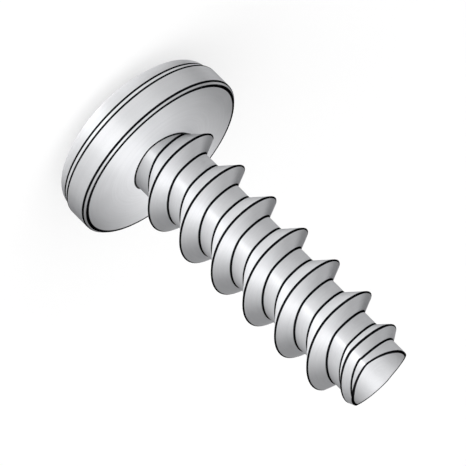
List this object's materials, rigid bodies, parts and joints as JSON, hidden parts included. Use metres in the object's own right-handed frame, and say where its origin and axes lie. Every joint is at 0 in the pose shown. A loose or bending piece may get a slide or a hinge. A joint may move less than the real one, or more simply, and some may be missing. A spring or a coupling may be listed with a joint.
{
  "type": "thread rolling screw",
  "caption": "Thread rolling screw with a pan head, a sharp coarse thread on a three-lobed shank and a flat plain end.",
  "frame": {"origin": "middle of the bearing face under the head, on the screw's axis", "axes": "+Z along the shank, from the head to the flat end; +Y towards a lobe of the shank"},
  "size_m": [0.0052, 0.0052, 0.0104],
  "materials": {
    "steel": "satin bright"
  },
  "bodies": {
    "root": {"screw": "steel"}
  },
  "joints": []
}
